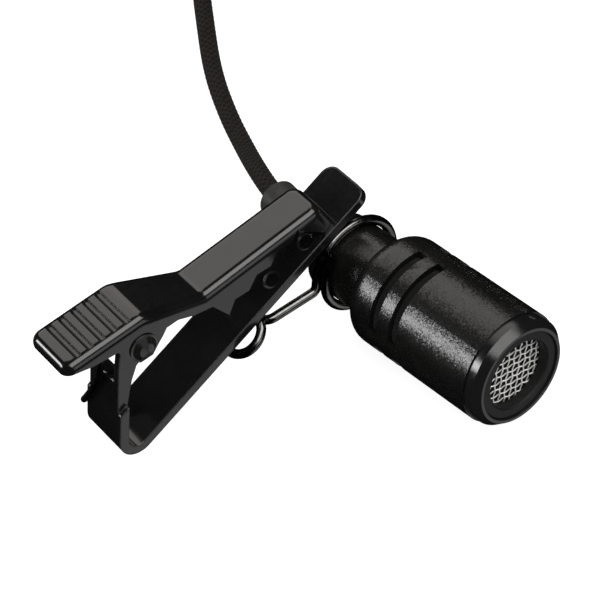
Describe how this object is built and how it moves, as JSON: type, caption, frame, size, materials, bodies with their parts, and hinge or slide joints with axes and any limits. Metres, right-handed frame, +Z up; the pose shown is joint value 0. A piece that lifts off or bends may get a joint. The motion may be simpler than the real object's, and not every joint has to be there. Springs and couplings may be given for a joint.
{
  "type": "lavalier microphone",
  "caption": "Small lavalier microphone with a slotted black barrel and mesh front, held by a wire ring on a sprung jaw clip, with a thin braided cable ending in a jack plug.",
  "frame": {"origin": "on the microphone axis, in the plain cylindrical part of the barrel just in front of the vent slots", "axes": "-Y is the way the microphone points, +Z is up, and +X is to its right seen from behind, so the clip lies on the -X side"},
  "size_m": [0.0925, 0.0873, 0.0162],
  "materials": {
    "black_anodised": "fine satin anodising",
    "bezel_anodised": "polished with a bright chamfer",
    "washer_black": "matte",
    "mesh_wire": "woven bright wire",
    "foam": "open-cell foam",
    "capsule_metal": "satin",
    "circuit_board": "solder mask",
    "soft_rubber": "soft matte",
    "solder": "bright",
    "enamelled_wire": "enamelled",
    "damping_cloth": "fine cloth",
    "brass_nut": "plain",
    "ferrule": "crimped",
    "boot_rubber": "matte moulded rubber",
    "cable_jacket": "fine braided cloth over rubber",
    "strap_cloth": "woven hook-and-loop",
    "plug_plastic": "matte moulded",
    "plug_contact": "bright nickel plate",
    "plug_insulator": "gloss",
    "clip_black": "gloss black electrocoat on steel",
    "pin_black": "gloss black",
    "spring_wire": "black spring steel",
    "holder_wire": "black nickel"
  },
  "bodies": {
    "microphone": {"head_barrel": "black_anodised", "front_bezel": "bezel_anodised", "grille_ring": "washer_black", "mesh_grille": "mesh_wire", "wind_foam": "foam", "capsule_can": "capsule_metal", "capsule_board": "circuit_board", "capsule_gasket": "soft_rubber", "solder_joints": "solder", "capsule_leads": "enamelled_wire", "port_screen": "damping_cloth", "neck_body": "black_anodised", "neck_nut": "brass_nut", "cable_clamp": "ferrule", "strain_relief": "boot_rubber", "cable_lead": "cable_jacket", "cable_coil": "cable_jacket", "coil_tie": "strap_cloth", "cable_tail": "cable_jacket", "plug_relief": "boot_rubber", "plug_handle": "plug_plastic", "plug_sleeve": "plug_contact", "plug_ring": "plug_contact", "plug_tip": "plug_contact", "plug_insulators": "plug_insulator"},
    "holder": {"holder_wire": "holder_wire"},
    "clip": {"clip_base": "clip_black", "pivot_pin": "pin_black", "jaw_spring": "spring_wire"},
    "jaw": {"upper_jaw": "clip_black"}
  },
  "joints": [
    {"name": "holder_turn", "type": "hinge", "parent": "microphone", "child": "holder", "pos_m": [0, 0.012, 0], "axis": [0, 1, 0], "continuous": true},
    {"name": "clip_swing", "type": "hinge", "parent": "holder", "child": "clip", "pos_m": [-0.00562, 0.01458, 0.00262], "axis": [-0.9136, 0.0819, -0.3982], "range_deg": [-3, 10]},
    {"name": "jaw_open", "type": "hinge", "parent": "clip", "child": "jaw", "pos_m": [-0.02333, 0.01704, 0.00723], "axis": [-0.0751, -0.9966, -0.0327], "range_deg": [0, 20], "stiffness_Nm_per_rad": 0.01, "springref_deg": -68.75, "deforming": ["jaw_spring"]}
  ]
}
